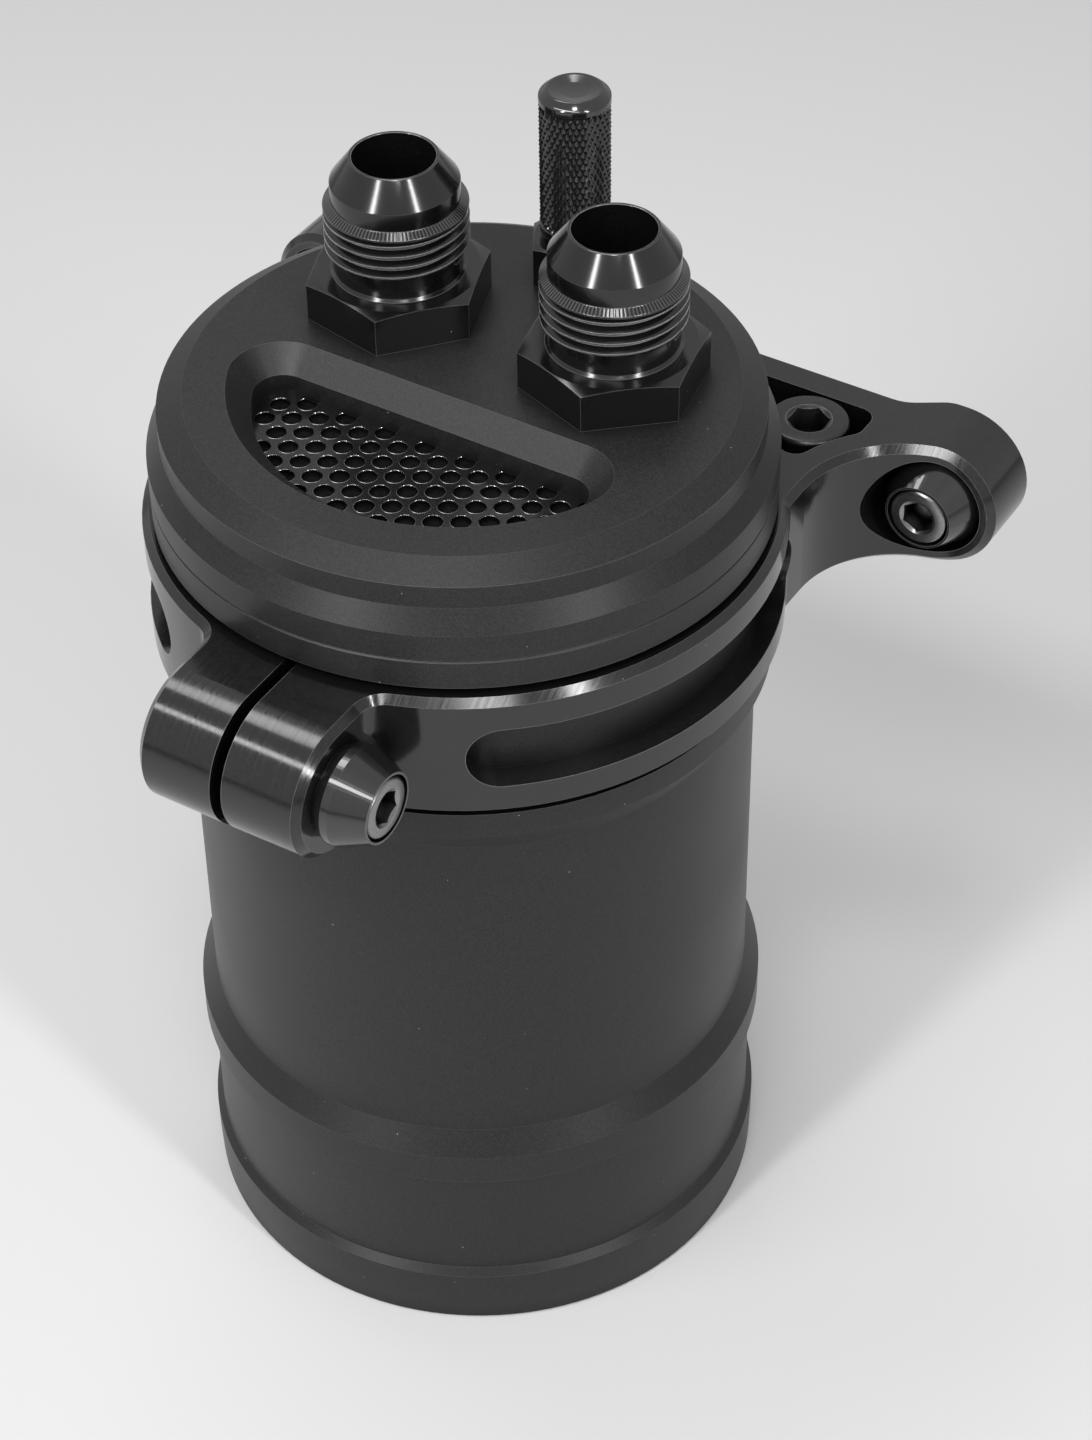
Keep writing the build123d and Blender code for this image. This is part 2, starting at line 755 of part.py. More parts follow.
def pocket_outline():
    """Plan of the pocket in the right arm, left by walls of even thickness."""
    back_y = arm_bar_y - bar_wall
    left_x = sqrt(clamp_r**2 - (back_y - pocket_end_height) ** 2)
    right_x = clamp_r - pocket_outer_inset
    low_y = arm_sweep_y / 2
    middle = Pos((left_x + right_x) / 2, (low_y + back_y) / 2)
    area = middle * Rectangle(right_x - left_x, back_y - low_y)
    area -= Circle(clamp_r)
    area -= Pos(arm_sweep_x, arm_sweep_y) * Circle(arm_sweep_r + arm_wall)
    return fillet(area.vertices(), pocket_fillet)


def make_clamp():
    """Slotted clamp ring with a split lug and two mounting arms, cut from one block."""
    blank = clamp_blank()
    body = chamfer(rim_edges(blank), clamp_chamfer)
    body -= Cylinder(tube_r + clamp_gap, 3 * lid_top_z)
    body -= Pos(0, lug_y, clamp_mid_z) * Box(clamp_split, 4 * lug_r, 2 * clamp_height)
    slot = slot_cut()
    body -= slot
    body -= mirror(slot, Plane.YZ)
    floor_z = clamp_high_z - 2 * arm_screw_r
    pocket = upright_slab(pocket_outline(), floor_z, clamp_high_z + 1)
    body -= pocket
    body -= mirror(pocket, Plane.YZ)
    for side in (-1, 1):
        screw_axis = Pos(side * arm_boss_x, 0, clamp_mid_z) * Rot(-90, 0, 0)
        body -= screw_axis * Cylinder(screw_hole_r, 2 * arm_back_y, align=BASE)
        body -= screw_axis * Cylinder(washer_seat_r, mount_seat_y, align=BASE)
        hole = Pos(side * arm_screw_x, arm_screw_y, floor_z - arm_screw_length - 1)
        body -= hole * Cylinder(arm_screw_r + thread_gap, arm_screw_length + 2, align=BASE)
    pinch_axis = Pos(0, lug_y, clamp_mid_z) * Rot(0, 90, 0)
    body -= pinch_axis * Cylinder(screw_hole_r, lug_half_width + 1, align=BASE)
    tapped = Rot(0, 180, 0) * Cylinder(screw_r + thread_gap, lug_half_width + 1, align=BASE)
    body -= pinch_axis * tapped
    spot_face = Pos(0, 0, lug_half_width) * Cylinder(washer_seat_r, cone_height, align=BASE)
    body -= pinch_axis * spot_face
    return body


def make_screw(shank_r, head_r, hex_size, length, grip):
    """Cap screw, head's top at z = 0, shank down; its plain grip is thinner than the thread."""
    head_z = -2 * shank_r
    tip_z = head_z - length
    body = turned([
        (0, 0),
        (head_r - screw_head_bevel, 0),
        (head_r, -screw_head_bevel),
        (head_r, head_z),
        (shank_r - screw_grip_relief, head_z),
        (shank_r - screw_grip_relief, head_z - grip),
        (shank_r, head_z - grip),
        (shank_r, tip_z + screw_point),
        (shank_r - screw_point, tip_z),
        (0, tip_z),
    ])
    socket_depth = screw_socket_share * 2 * shank_r
    socket = Pos(0, 0, -socket_depth) * RegularPolygon(hex_size / sqrt(3), 6)
    return body - extrude(socket, socket_depth)


def make_cone_washer():
    """Conical washer that takes a cap screw's head, standing on z = 0."""
    return turned([
        (screw_hole_r, 0),
        (cone_low_r, 0),
        (cone_wide_r, cone_wide_from),
        (cone_wide_r, cone_wide_to),
        (cone_top_r, cone_height),
        (cone_cup_r, cone_height),
        (cone_cup_r, cone_floor),
        (screw_hole_r, cone_floor),
    ])


pinch_place = Pos(lug_half_width, lug_y, clamp_mid_z) * Rot(0, 90, 0)
mount_places = [
    Pos(side * arm_boss_x, mount_seat_y, clamp_mid_z) * Rot(90, 0, 0) for side in (-1, 1)
]
head_up = Pos(0, 0, cone_height)
pinch_screw = make_screw(screw_r, screw_head_r, screw_hex, pinch_screw_length, screw_neck)
mount_screw = make_screw(screw_r, screw_head_r, screw_hex, mount_screw_length, mount_grip)
arm_screw = make_screw(arm_screw_r, arm_screw_head_r, arm_screw_hex, arm_screw_length, screw_neck)
cone_washer = make_cone_washer()
fitting = make_fitting()
fitting_seal = make_fitting_seal()

pieces = {
    "reservoir_cup": make_cup(),
    "cup_seal": joint_seal(cup_thread_r, cup_top_z),
    "canister": make_canister(),
    "lid": make_lid(),
    "lid_seal": joint_seal(lid_thread_r, lid_seam_z),
    "vent_mesh": make_mesh(),
    "vent_filter_pad": make_filter_pad(),
    "vent_retainer": make_retainer(),
    "vent_screws": make_retainer_screws(),
    "inlet_fitting": fitting_place(-1) * fitting,
    "outlet_fitting": fitting_place(1) * fitting,
    "inlet_seal": fitting_place(-1) * fitting_seal,
    "outlet_seal": fitting_place(1) * fitting_seal,
    "dipstick_bung": make_bung(),
    "bung_seal": make_bung_seal(),
    "dipstick_handle": make_handle(),
    "dipstick_rod": make_rod(),
    "dipstick_seals": make_plug_seals(),
    "baffle_post": make_post(),
    "baffle_plate": make_baffle(),
    "baffle_nut": make_baffle_nut(),
    "clamp_bracket": make_clamp(),
    "pinch_screw": pinch_place * head_up * pinch_screw,
    "pinch_washer": pinch_place * cone_washer,
    "mount_screws": Compound([place * head_up * mount_screw for place in mount_places]),
    "mount_washers": Compound([place * cone_washer for place in mount_places]),
    "arm_screws": Compound([
        Pos(side * arm_screw_x, arm_screw_y, clamp_high_z) * arm_screw for side in (-1, 1)
    ]),
}

os.makedirs("parts", exist_ok=True)
for name, solid in pieces.items():
    export_step(solid, f"parts/{name}.step")
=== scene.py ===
import json
import math
from math import cos, pi, radians, sin, tan

import bmesh
import bpy
from mathutils import Matrix, Vector


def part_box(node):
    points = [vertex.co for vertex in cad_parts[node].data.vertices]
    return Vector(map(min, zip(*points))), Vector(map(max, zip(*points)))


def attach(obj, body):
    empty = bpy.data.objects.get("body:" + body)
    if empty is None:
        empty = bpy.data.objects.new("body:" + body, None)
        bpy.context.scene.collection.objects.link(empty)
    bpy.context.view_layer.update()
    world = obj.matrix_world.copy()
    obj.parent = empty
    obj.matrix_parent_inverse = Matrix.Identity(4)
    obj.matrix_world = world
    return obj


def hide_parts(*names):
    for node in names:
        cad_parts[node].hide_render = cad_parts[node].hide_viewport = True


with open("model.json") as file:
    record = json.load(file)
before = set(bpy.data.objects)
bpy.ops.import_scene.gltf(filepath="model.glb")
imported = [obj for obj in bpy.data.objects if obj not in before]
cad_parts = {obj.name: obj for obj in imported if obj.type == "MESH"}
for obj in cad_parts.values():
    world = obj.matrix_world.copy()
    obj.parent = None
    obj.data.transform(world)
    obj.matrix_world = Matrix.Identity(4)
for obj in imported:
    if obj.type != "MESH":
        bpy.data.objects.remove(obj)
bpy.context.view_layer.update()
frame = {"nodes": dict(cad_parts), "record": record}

nodes = frame["nodes"]

# Places in the solids, in mm

MM = 0.001
lid_top = 162.0
clamp_mid = 130.2
fitting_x, fitting_y = 19.1, 12.3
dipstick_y = 32.85
mount_x, mount_y = 56.85, 41.8
pinch_x, pinch_y = 22.2, -56.3
arm_screw_x, arm_screw_y, arm_screw_top = 36.6, 42.8, 141.3

# Finishes

dust_grey = (0.35, 0.35, 0.35)
dust_spacing = 0.0042
# Near-black for the painted shade that the finishes put in hollows
painted_shade_black = (0.004, 0.004, 0.004)


class Finish:
    """One procedural finish: a shader with the small steps that build its grain, dust, painted edge
    highlights and painted shade.
    """

    def __init__(self, name):
        self.material = bpy.data.materials.new(name)
        self.material.use_nodes = True
        self.tree = self.material.node_tree
        self.shader = self.tree.nodes["Principled BSDF"]
        self.place = self.tree.nodes.new("ShaderNodeTexCoord").outputs["Object"]

    def link(self, source, target):
        """Joins an output socket to an input socket."""
        self.tree.links.new(source, target)

    def parts(self, vector):
        """The three coordinates of a place."""
        node = self.tree.nodes.new("ShaderNodeSeparateXYZ")
        self.link(vector, node.inputs[0])
        return node.outputs

    def calc(self, kind, *values):
        """One step of arithmetic on sockets and numbers."""
        node = self.tree.nodes.new("ShaderNodeMath")
        node.operation = kind
        for socket, value in zip(node.inputs, values):
            if isinstance(value, (int, float)):
                socket.default_value = value
            else:
                self.link(value, socket)
        return node.outputs[0]

    def noise(self, size, detail=2.0, rough=0.5, place=None):
        """Cloudy noise whose blots are about as large as size, in metres."""
        node = self.tree.nodes.new("ShaderNodeTexNoise")
        node.inputs["Scale"].default_value = 1.0 / size
        node.inputs["Detail"].default_value = detail
        node.inputs["Roughness"].default_value = rough
        self.link(place or self.place, node.inputs["Vector"])
        return node.outputs["Fac"]

    def specks(self, spacing, size):
        """Tiny scattered dots of dust, 1 in a dot and 0 between."""
        node = self.tree.nodes.new("ShaderNodeTexVoronoi")
        node.inputs["Scale"].default_value = 1.0 / spacing
        self.link(self.place, node.inputs["Vector"])
        return self.spread(node.outputs["Distance"], size / spacing * 0.6, size / spacing, 1.0, 0.0)

    def spread(self, value, low, high, out_low, out_high):
        """Maps the range low to high onto another range, clamped at both ends."""
        node = self.tree.nodes.new("ShaderNodeMapRange")
        ends = {"From Min": low, "From Max": high, "To Min": out_low, "To Max": out_high}
        for key, number in ends.items():
            node.inputs[key].default_value = number
        self.link(value, node.inputs["Value"])
        return node.outputs["Result"]

    def mix(self, amount, first, second):
        """A blend of two colours, each a socket or three numbers."""
        node = self.tree.nodes.new("ShaderNodeMix")
        node.data_type = "RGBA"
        self.link(amount, node.inputs[0])
        for socket, colour in ((node.inputs[6], first), (node.inputs[7], second)):
            if isinstance(colour, tuple):
                socket.default_value = (*colour, 1.0)
            else:
                self.link(colour, socket)
        return node.outputs[2]

    def relief(self, height, strength, depth):
        """Bump from a height, for marks too fine for the mesh."""
        node = self.tree.nodes.new("ShaderNodeBump")
        node.inputs["Strength"].default_value = strength
        node.inputs["Distance"].default_value = depth
        self.link(height, node.inputs["Height"])
        self.link(node.outputs["Normal"], self.shader.inputs["Normal"])

    def edges(self, radius, low, high):
        """How near a point lies to a sharp edge, from 0 on open surface to 1 on the edge."""
        rounded = self.tree.nodes.new("ShaderNodeBevel")
        rounded.samples = 6
        rounded.inputs["Radius"].default_value = radius
        plain = self.tree.nodes.new("ShaderNodeNewGeometry")
        turn = self.tree.nodes.new("ShaderNodeVectorMath")
        turn.operation = "DOT_PRODUCT"
        self.link(rounded.outputs["Normal"], turn.inputs[0])
        self.link(plain.outputs["Normal"], turn.inputs[1])
        return self.spread(turn.outputs["Value"], high, low, 0.0, 1.0)

    def hollows(self, reach):
        """How open a point lies, from 0 deep in a hollow to 1 on an open face."""
        node = self.tree.nodes.new("ShaderNodeAmbientOcclusion")
        node.samples = 8
        node.inputs["Distance"].default_value = reach
        return node.outputs["AO"]

    def colour(self, value):
        self.link(value, self.shader.inputs["Base Color"])

    def gloss(self, value):
        self.link(value, self.shader.inputs["Roughness"])


def metal(
    name, dark, light, rough, grain, metallic=0.0, level=0.5, edge=None, edge_size=0.0002, dust=0.0,
    lines=None, blast=0.12, painted_shade_reach=0.0, edge_highlight_above=None, marks=None, streaks=None,
):
    """Anodised or bare metal: grain, uneven gloss, dust, tool marks, painted edge highlights and painted
    shade.

    The grain mixes dark and light, and rough is the range of its roughness. edge is the colour of a painted
    highlight on sharp edges, and marks add painted highlights of their own. grain, edge_size, dust, the
    reach of the painted shade in hollows and the height above which the edge highlight is full are lengths
    in metres. lines, marks and streaks are functions of a finish.
    """
    f = Finish(name)
    f.shader.inputs["Metallic"].default_value = metallic
    f.shader.inputs["Specular IOR Level"].default_value = level
    fine = f.noise(grain, 3.0)
    broad = f.noise(0.03, 2.0)
    surface = f.mix(f.spread(fine, 0.35, 0.65, 0.0, 1.0), dark, light)
    if edge:
        # Painted highlight: sharp edges lighten towards the edge colour, only a fifth as much below a given
        # height, and marks add more
        edge_highlight = f.edges(edge_size, 0.80, 0.995)
        if edge_highlight_above:
            height = f.parts(f.place)[2]
            edge_highlight_share = f.spread(height, edge_highlight_above, edge_highlight_above + 0.0005, 0.2, 1.0)
            edge_highlight = f.calc("MULTIPLY", edge_highlight, edge_highlight_share)
        if marks:
            edge_highlight = f.calc("MAXIMUM", edge_highlight, marks(f))
        surface = f.mix(edge_highlight, surface, edge)
    if dust:
        surface = f.mix(f.specks(dust_spacing, dust), surface, dust_grey)
    # Painted shade: the colour goes near-black in hollows, by how closed in a point lies
    if painted_shade_reach:
        surface = f.mix(f.spread(f.hollows(painted_shade_reach), 0.45, 0.85, 0.0, 1.0), painted_shade_black, surface)
    f.colour(surface)
    f.gloss(f.spread(streaks(f) if streaks else broad, 0.3, 0.7, *rough))
    height = fine
    if lines:
        height = f.calc("ADD", f.calc("MULTIPLY", fine, 0.3), lines(f))
    f.relief(height, 0.35, grain * blast)
    return f.material


def lug_lines(f):
    """Milling marks on the clamp: fine lines that follow one another along x."""
    x, _, _ = f.parts(f.place)
    across = f.tree.nodes.new("ShaderNodeCombineXYZ")
    f.link(x, across.inputs[0])
    return f.noise(0.0005, 4.0, 0.6, across.outputs[0])


def cone_lines(f):
    """Fine lines that run up the conical washers, round the axis of each."""
    lines_round = 90.0
    x, y, z = f.parts(f.place)
    on_lug = f.calc("LESS_THAN", y, 0.0)
    on_arms = f.calc("SUBTRACT", 1.0, on_lug)
    from_mount = f.calc("SUBTRACT", f.calc("ABSOLUTE", x), mount_x * MM)
    from_pinch = f.calc("SUBTRACT", y, pinch_y * MM)
    across = f.calc("MULTIPLY", from_mount, on_arms)
    across = f.calc("ADD", across, f.calc("MULTIPLY", from_pinch, on_lug))
    turn = f.calc("ARCTAN2", f.calc("SUBTRACT", z, clamp_mid * MM), across)
    return f.calc("SINE", f.calc("MULTIPLY", turn, lines_round))


def ring_lines(f):
    """Turning marks in rings, for faces made on a lathe."""
    _, _, z = f.parts(f.place)
    along = f.tree.nodes.new("ShaderNodeCombineXYZ")
    f.link(z, along.inputs[2])
    return f.noise(0.00035, 3.0, 0.6, along.outputs[0])


def chamfer_ticks(f):
    """Upright tool ticks on the first chamfer of each fitting's thread, from -1 to 1."""
    ticks_round, chamfer_mid, half_height, bore_reach = 120.0, 180.78, 0.42, 9.5
    x, y, z = f.parts(f.place)
    across = f.calc("SUBTRACT", f.calc("ABSOLUTE", x), fitting_x * MM)
    along = f.calc("SUBTRACT", y, fitting_y * MM)
    squares = [f.calc("MULTIPLY", side, side) for side in (across, along)]
    reach = f.calc("SQRT", f.calc("ADD", *squares))
    ticks = f.calc("SINE", f.calc("MULTIPLY", f.calc("ARCTAN2", along, across), ticks_round))
    at_height = f.calc("COMPARE", z, chamfer_mid * MM, half_height * MM)
    outside = f.calc("GREATER_THAN", reach, bore_reach * MM)
    return f.calc("MULTIPLY", ticks, f.calc("MULTIPLY", at_height, outside))


def fitting_lines(f):
    """Turning marks in rings, with upright tool ticks on the thread's first chamfer."""
    return f.calc("ADD", ring_lines(f), f.calc("MULTIPLY", chamfer_ticks(f), 4.0))


def tick_highlights(f):
    """Painted highlight on the crests of the tool ticks."""
    return f.calc("MULTIPLY", f.calc("MAXIMUM", chamfer_ticks(f), 0.0), 0.10)


# In each finish below, edge is the colour of a painted highlight along sharp edges
can_black = metal(
    "can_black", (0.009, 0.009, 0.0093), (0.0200, 0.0190, 0.0210), (0.36, 0.43), 0.00028, level=0.30,
    edge=(0.085, 0.084, 0.088), edge_size=0.00024, dust=0.00011, painted_shade_reach=0.006,
)
clamp_black = metal(
    "clamp_black", (0.006, 0.006, 0.0062), (0.010, 0.010, 0.0105), (0.07, 0.23), 0.0005, level=0.62,
    edge=(0.18, 0.18, 0.185), edge_size=0.00020, dust=0.00008, lines=lug_lines, blast=0.016,
    streaks=lug_lines, painted_shade_reach=0.005,
)
# Painted highlights: the fitting's edges lighten fully only above the hexagon, and the crests of the tool
# ticks lighten too
fitting_black = metal(
    "fitting_black", (0.003, 0.003, 0.003), (0.005, 0.005, 0.0052), (0.13, 0.17), 0.0004, level=0.65,
    edge=(0.55, 0.55, 0.555), edge_size=0.00019, dust=0.00010, lines=fitting_lines, blast=0.010,
    edge_highlight_above=0.1690, marks=tick_highlights,
)
knurl_black = metal(
    "knurl_black", (0.004, 0.004, 0.004), (0.007, 0.007, 0.007), (0.10, 0.14), 0.0003, level=1.0,
    edge=(0.07, 0.07, 0.072), edge_size=0.00010, blast=0.01,
)
washer_black = metal(
    "washer_black", (0.005, 0.005, 0.005), (0.008, 0.008, 0.008), (0.13, 0.18), 0.0003, level=1.0,
    edge=(0.16, 0.16, 0.165), edge_size=0.00014, lines=cone_lines, blast=0.015,
)
screw_steel = metal(
    "screw_steel", (0.24, 0.24, 0.24), (0.31, 0.31, 0.31), (0.24, 0.32), 0.0003, 1.0,
    edge=(0.55, 0.55, 0.55), edge_size=0.00014, blast=0.04, painted_shade_reach=0.003,
)
arm_screw_black = metal(
    "arm_screw_black", (0.030, 0.030, 0.031), (0.050, 0.050, 0.050), (0.24, 0.32), 0.0003, 0.6,
    edge=(0.26, 0.26, 0.26), edge_size=0.00024, blast=0.05, painted_shade_reach=0.004,
)
mesh_steel = metal(
    "mesh_steel", (0.050, 0.050, 0.052), (0.075, 0.075, 0.075), (0.13, 0.19), 0.0003, 0.9,
    blast=0.02,
)
# A lighter copy of mesh_steel: painted highlight on the rolled rims of the vent's holes
rim_highlight_steel = metal(
    "rim_highlight_steel", (0.15, 0.15, 0.15), (0.22, 0.22, 0.22), (0.12, 0.2), 0.0003, 1.0,
    blast=0.02,
)
rod_steel = metal(
    "rod_steel", (0.42, 0.42, 0.42), (0.50, 0.50, 0.50), (0.22, 0.30), 0.0003, 1.0,
    lines=ring_lines,
)
plate_aluminium = metal(
    "plate_aluminium", (0.5, 0.5, 0.51), (0.58, 0.58, 0.59), (0.36, 0.44), 0.0003, 1.0,
)
# Rubber and foam are no metals, but they take their grain from the same steps
seal_rubber = metal(
    "seal_rubber", (0.012, 0.012, 0.012), (0.020, 0.020, 0.020), (0.60, 0.70), 0.0002,
)
pad_foam = metal(
    "pad_foam", (0.002, 0.002, 0.002), (0.006, 0.006, 0.006), (0.90, 0.97), 0.0008, level=0.1,
    blast=0.6,
)

finishes = {
    "can_black": can_black, "clamp_black": clamp_black, "fitting_black": fitting_black,
    "knurl_black": knurl_black, "washer_black": washer_black, "screw_steel": screw_steel,
    "mesh_steel": mesh_steel, "rod_steel": rod_steel, "plate_aluminium": plate_aluminium,
    "seal_rubber": seal_rubber, "pad_foam": pad_foam,
}
for part in frame["record"]["subparts"]:
    for slot in nodes[part["node"]].material_slots:
        slot.material = finishes[part["material_slot"]]

# Pieces that the solids leave plain

# Cap screw sizes in mm: radius, head's radius, socket across its flats, thread's pitch
m6 = (3.0, 5.0, 5.0, 1.0)
m8 = (4.0, 6.5, 6.0, 1.25)


def keep(bm, name, body, material, slot, *stands_for, sharp=32.0):
    """Turns a finished bmesh into a piece that rides on a body."""
    mesh = bpy.data.meshes.new(name)
    bm.to_mesh(mesh)
    bm.free()
    if "custom_normal" in mesh.attributes:
        mesh.attributes.remove(mesh.attributes["custom_normal"])
    mesh.shade_smooth()
    mesh.set_sharp_from_angle(angle=radians(sharp))
    mesh.materials.append(material)
    piece = bpy.data.objects.new(name, mesh)
    bpy.context.scene.collection.objects.link(piece)
    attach(piece, body)
    if stands_for:
        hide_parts(*stands_for)
    return piece


def once(items):
    """The items without repeats, in the order in which they first come."""
    return list(dict.fromkeys(items))


def lathe(bm, outline, rounding=0.15, segments=128):
    """Spins an outline of (radius, height) points in mm about Z, its corners rounded first."""
    corners = [bm.verts.new((r * MM, 0, z * MM)) for r, z in outline]
    for pair in zip(corners, corners[1:]):
        bm.edges.new(pair)
    bmesh.ops.bevel(
        bm, geom=corners[1:-1], affect="VERTICES", offset=rounding * MM, offset_type="OFFSET",
        segments=2, profile=0.5, clamp_overlap=True, material=-1,
    )
    drawn = [v for v in bm.verts if v.is_valid and not v.link_faces and v.link_edges]
    lines = once(e for v in drawn for e in v.link_edges)
    bmesh.ops.spin(
        bm, geom=drawn + lines, cent=(0, 0, 0), axis=(0, 0, 1), dvec=(0, 0, 0),
        angle=2 * pi, steps=segments, use_merge=True,
    )
    bmesh.ops.remove_doubles(bm, verts=[v for v in bm.verts if v.co.xy.length < 1e-6], dist=1e-7)


def thread_ridge(bm, root, crest, pitch, low, turns, per_turn=72):
    """Raises one helical ridge that runs out to a point at both ends, upwards from low."""
    section_shares = (0.06, 0.44, 0.56, 0.94)
    steps = int(turns * per_turn)
    run_out = per_turn * 0.25
    section = [bm.verts.new((root * MM, 0, (low + share * pitch) * MM)) for share in section_shares]
    first = section
    lines = [bm.edges.new(pair) for pair in zip(section, section[1:] + section[:1])]
    for step in range(1, steps + 1):
        made = bmesh.ops.extrude_edge_only(bm, edges=lines)["geom"]
        lines = [g for g in made if isinstance(g, bmesh.types.BMEdge)]
        section = [g for g in made if isinstance(g, bmesh.types.BMVert)]
        turn = Matrix.Rotation(2 * pi / per_turn, 4, "Z")
        bmesh.ops.rotate(bm, verts=section, cent=(0, 0, 0), matrix=turn)
        bmesh.ops.translate(bm, verts=section, vec=(0, 0, pitch / per_turn * MM))
        growth = min(1.0, step / run_out, (steps - step) / run_out)
        rise = pitch * step / per_turn
        for v in section:
            share = (v.co.z / MM - low - rise) / pitch
            level = 1.0 if 0.3 < share < 0.7 else 0.0
            reach = (root + (crest - root) * level * growth) * MM
            away = Vector((v.co.x, v.co.y, 0)).normalized() * reach
            v.co.x, v.co.y = away.x, away.y
    for end in (first, section):
        middle = sum((v.co for v in end), Vector()) / len(end)
        bmesh.ops.pointmerge(bm, verts=end, merge_co=middle)


def outwards(bm, hollow=False):
    """Turns all faces outwards, or inwards for the wall of a bore."""
    bmesh.ops.recalc_face_normals(bm, faces=bm.faces)
    if hollow:
        bmesh.ops.reverse_faces(bm, faces=bm.faces)
    return bm


def join(whole, *others):
    """Moves the faces of other bmeshes into a whole."""
    for bm in others:
        spare = bpy.data.meshes.new("spare")
        bm.to_mesh(spare)
        bm.free()
        whole.from_mesh(spare)
        bpy.data.meshes.remove(spare)
    return whole


def copied(node):
    """A merged copy of a solid's mesh."""
    bm = bmesh.new()
    bm.from_mesh(nodes[node].data)
    bmesh.ops.remove_doubles(bm, verts=bm.verts, dist=2e-6)
    return bm


def threaded_copy(name, node, body, walls):
    """A turned piece whose plain screwed walls get real threads.

    Each wall is (its radius, its thread's root radius, lowest height, highest height).
    """
    base = copied(node)
    pitch, run_in, clear, sink, slack = 1.5, 0.4, 0.1, 0.02, 0.25
    for r, root, low, high in walls:
        for z in (low, high):
            bmesh.ops.bisect_plane(
                base, geom=base.verts[:] + base.edges[:] + base.faces[:], dist=1e-7,
                plane_co=(0, 0, z * MM), plane_no=(0, 0, 1),
            )
        doomed = []
        for face in base.faces:
            middle = face.calc_center_median()
            on_wall = abs(middle.xy.length - r * MM) < slack * MM and abs(face.normal.z) < 0.2
            if on_wall and low * MM < middle.z < high * MM:
                doomed.append(face)
        bmesh.ops.delete(base, geom=doomed, context="FACES")
        wall = bmesh.new()
        lathe(wall, [(r, low), (root, low + run_in), (root, high - run_in), (r, high)], rounding=0.1)
        outwards(wall, hollow=root > r)
        ridge = bmesh.new()
        sunk_root = root + (sink if root > r else -sink)
        turns = (high - low - 2 * clear) / pitch - 1
        thread_ridge(ridge, sunk_root, r, pitch, low + clear, turns, per_turn=96)
        join(base, wall, outwards(ridge))
    keep(base, name, body, can_black, "can_black", node, sharp=14.0)


def flare_fitting(name, node, side):
    """Flare fitting: the hexagon of the solid, and a neck with a real helical thread above it."""
    just_over_hexagon = lid_top + 6.85
    base = copied(node)
    bmesh.ops.bisect_plane(
        base, geom=base.verts[:] + base.edges[:] + base.faces[:], dist=1e-7,
        plane_co=(0, 0, just_over_hexagon * MM), plane_no=(0, 0, 1), clear_outer=True,
    )
    neck = bmesh.new()
    lathe(neck, [
        (6.35, 6.0), (6.35, 26.31), (6.8, 26.31), (9.9, 22.2), (9.9, 19.2), (11.1, 18.35),
        (11.1, 18.0), (10.0, 17.55), (10.0, 10.9), (9.9, 10.6), (9.9, 7.25), (10.35, 6.8), (10.35, 6.0),
    ], rounding=0.12)
    ridge = bmesh.new()
    thread_ridge(ridge, root=9.98, crest=11.1, pitch=1.814, low=9.37, turns=4.3)
    above = join(outwards(neck), outwards(ridge))
    centre = (side * fitting_x * MM, fitting_y * MM, lid_top * MM)
    bmesh.ops.translate(above, verts=above.verts, vec=centre)
    keep(join(base, above), name, "lid", fitting_black, "fitting_black", node, sharp=14.0)


def knurled_grip():
    """Dipstick grip: a turned handle whose middle band carries a raised diamond knurl.

    around counts the diamonds in one ring, and fine the mesh steps across each. The band lies between
    low and high above the lid, and each ring of diamonds is climb_pitch tall.
    """
    around, fine = 32, 8
    low, high, climb_pitch, face = 9.6, 31.0, 2.06, 5.35
    crest, groove_depth, fade = 0.18, 0.42, 0.3
    levels = round((high - low) / climb_pitch * fine)
    bm = bmesh.new()
    bmesh.ops.create_circle(bm, cap_ends=False, radius=face * MM, segments=around * fine)
    bmesh.ops.translate(bm, verts=bm.verts, vec=(0, 0, (lid_top + low) * MM))
    lines = bm.edges[:]
    step = (high - low) / levels * MM
    for _ in range(levels):
        made = bmesh.ops.extrude_edge_only(bm, edges=lines)["geom"]
        lines = [g for g in made if isinstance(g, bmesh.types.BMEdge) and len(g.link_faces) < 2]
        top = once(v for e in lines for v in e.verts)
        bmesh.ops.translate(bm, verts=top, vec=(0, 0, step))
    for v in bm.verts:
        turn = math.atan2(v.co.y, v.co.x) / (2 * pi) * around
        climb = (v.co.z - (lid_top + low) * MM) / (step * fine)
        groove = max(ridge_line(turn + climb), ridge_line(turn - climb))
        share = max(0.0, min(1.0, climb / fade, (levels / fine - climb) / fade))
        reach = (face + crest - groove_depth * groove * share) * MM
        away = Vector((v.co.x, v.co.y, 0)).normalized() * reach
        v.co.x, v.co.y = away.x, away.y
    lathe(bm, [
        (0.0, 194.4), (2.2, 194.55), (3.9, 194.95), (4.3, 195.0), (5.3, 194.2), (5.53, 193.9), (5.53, 193.0),
    ], rounding=0.12)
    lathe(bm, [
        (5.53, 171.6), (5.53, 170.2), (4.7, 169.15), (3.75, 169.15), (3.75, 157.6), (3.3, 157.15),
        (2.0, 157.15), (2.0, 167.0), (0.0, 167.0),
    ], rounding=0.12)
    bmesh.ops.remove_doubles(bm, verts=bm.verts, dist=1e-7)
    bmesh.ops.recalc_face_normals(bm, faces=bm.faces)
    bmesh.ops.translate(bm, verts=bm.verts, vec=(0, dipstick_y * MM, 0))
    keep(bm, "knurled_grip", "dipstick", knurl_black, "knurl_black", "dipstick_handle")


def ridge_line(phase):
    """Depth of one family of knurl grooves: 1 in the groove, 0 half way between two."""
    return 1.0 - 2.0 * abs(phase - math.floor(phase) - 0.5)


